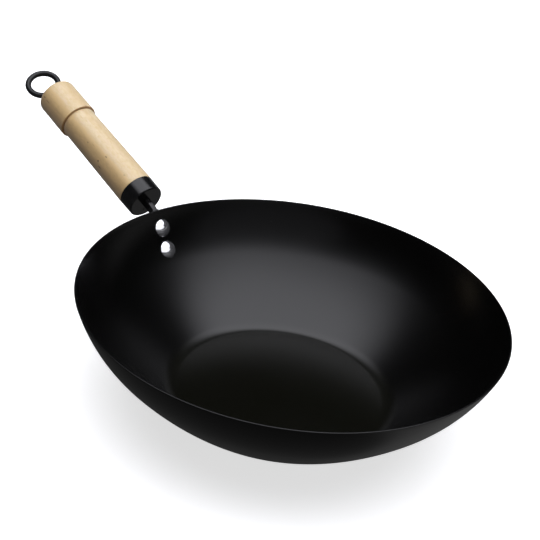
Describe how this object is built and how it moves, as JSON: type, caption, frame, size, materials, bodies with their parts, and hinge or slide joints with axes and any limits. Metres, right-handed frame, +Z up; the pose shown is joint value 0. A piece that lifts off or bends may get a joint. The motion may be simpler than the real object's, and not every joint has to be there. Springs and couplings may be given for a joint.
{
  "type": "wok",
  "caption": "Flat-bottomed carbon steel wok with one long turned wooden handle on a riveted bracket, a black ferrule and a wire hanging eye.",
  "frame": {"origin": "centre of the bowl's flat base, on the surface it stands on", "axes": "+Z up out of the bowl, +X from the bowl's centre towards the handle, +Y across the handle"},
  "size_m": [0.4679, 0.2996, 0.1357],
  "materials": {
    "black_coating": "satin black coating inside and out",
    "bracket_paint": "gloss black paint",
    "rivet_steel": "polished",
    "ferrule_paint": "gloss black paint",
    "wood": "pale wood, smooth, thin clear finish",
    "plain_steel": "plain",
    "wire_paint": "satin black paint"
  },
  "bodies": {
    "root": {"bowl": "black_coating", "handle_bracket": "bracket_paint", "rivets": "rivet_steel", "ferrule": "ferrule_paint", "grip": "wood", "tie_nut": "plain_steel", "hanging_eye": "wire_paint"}
  },
  "joints": []
}
